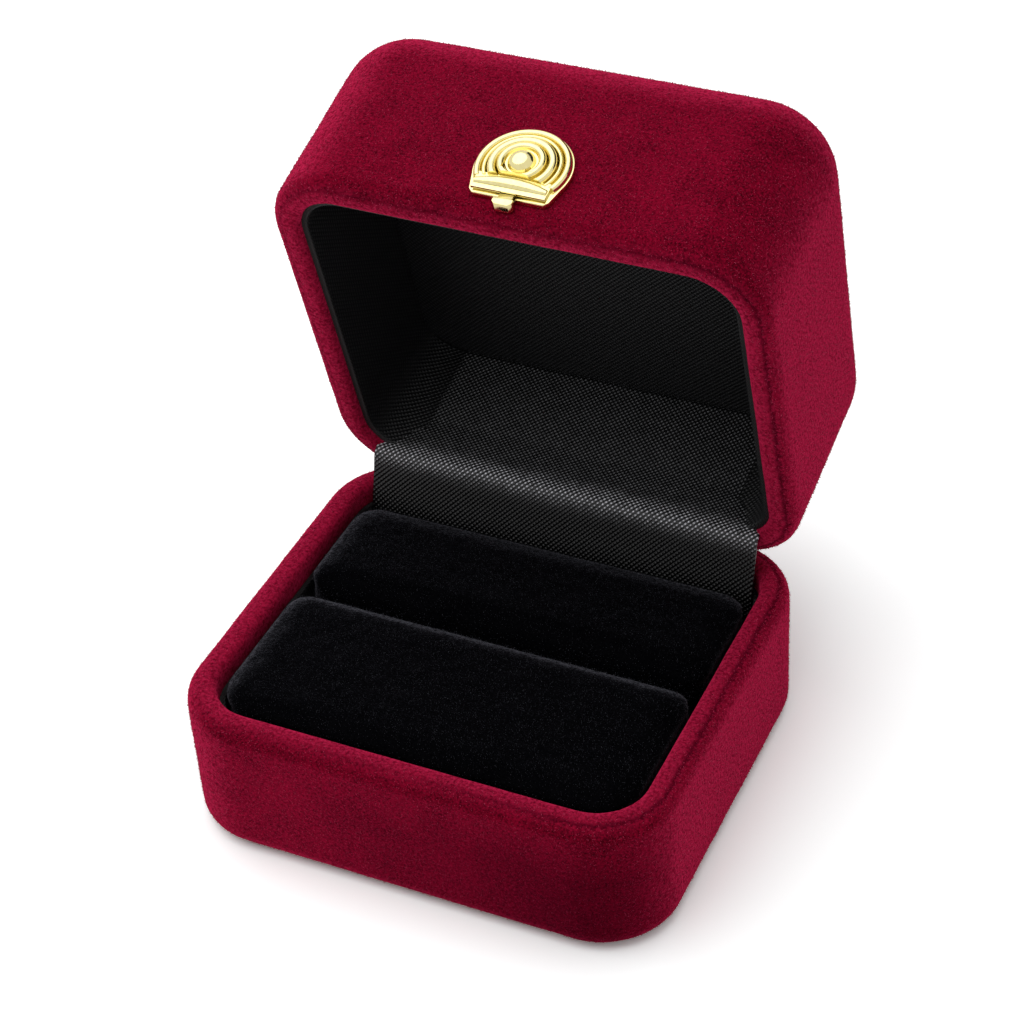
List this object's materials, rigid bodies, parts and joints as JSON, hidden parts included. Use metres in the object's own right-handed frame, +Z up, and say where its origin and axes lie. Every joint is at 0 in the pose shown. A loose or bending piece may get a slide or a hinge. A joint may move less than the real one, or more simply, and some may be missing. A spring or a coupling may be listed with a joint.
{
  "type": "jewelry presentation box",
  "caption": "Hinged velvet ring box, open, with a deep lid, a slit cushion, a woven lining and flap, and a relief clasp with a push button on the lid.",
  "frame": {"origin": "centre of the flat card under the base, on which the open box stands", "axes": "+X to the box's right, -Y to the side that opens, +Z up"},
  "size_m": [0.064, 0.0793, 0.0804],
  "materials": {
    "crimson_velvet": "short pile velvet, bright at grazing angles",
    "black_velvet": "short pile velvet",
    "black_weave": "diagonal woven cloth on card",
    "foam": "soft foam",
    "black_card": "matt black card",
    "shell_plastic": "moulded, hidden under velvet",
    "hinge_steel": "plain stamped steel",
    "pale_gold": "polished pale gold plating"
  },
  "bodies": {
    "base": {"base_underside_card": "black_card", "base_velvet_cover": "crimson_velvet", "base_shell": "shell_plastic", "base_wall_lining": "black_weave", "cushion_card": "black_card", "front_pad_foam": "foam", "front_pad_velvet": "black_velvet", "rear_pad_foam": "foam", "rear_pad_velvet": "black_velvet", "hinge_flap": "black_weave", "hinge_base_leaf": "hinge_steel", "hinge_pin": "hinge_steel", "hinge_spring": "hinge_steel", "base_hinge_rivets": "hinge_steel"},
    "lid": {"lid_velvet_cover": "crimson_velvet", "lid_shell": "shell_plastic", "lid_wall_lining": "black_weave", "lid_ceiling_panel": "black_weave", "lid_ceiling_foam": "foam", "hinge_lid_leaf": "hinge_steel", "lid_hinge_rivets": "hinge_steel", "clasp_back_plate": "pale_gold", "clasp_arch": "pale_gold", "clasp_dome_rivet": "pale_gold", "clasp_washer": "hinge_steel", "clasp_bar": "pale_gold", "clasp_button_spring": "hinge_steel"},
    "button": {"clasp_button": "pale_gold"}
  },
  "joints": [
    {"name": "lid_hinge", "type": "hinge", "parent": "base", "child": "lid", "pos_m": [0, 0.026, 0.0229], "axis": [1, 0, 0], "range_deg": [0, 75], "deforming": ["hinge_flap", "hinge_spring"]},
    {"name": "button_press", "type": "slide", "parent": "lid", "child": "button", "axis": [0, 0.9659, 0.2588], "range_m": [0, 0.0005], "stiffness_N_per_m": 200, "deforming": ["clasp_button_spring"]}
  ]
}
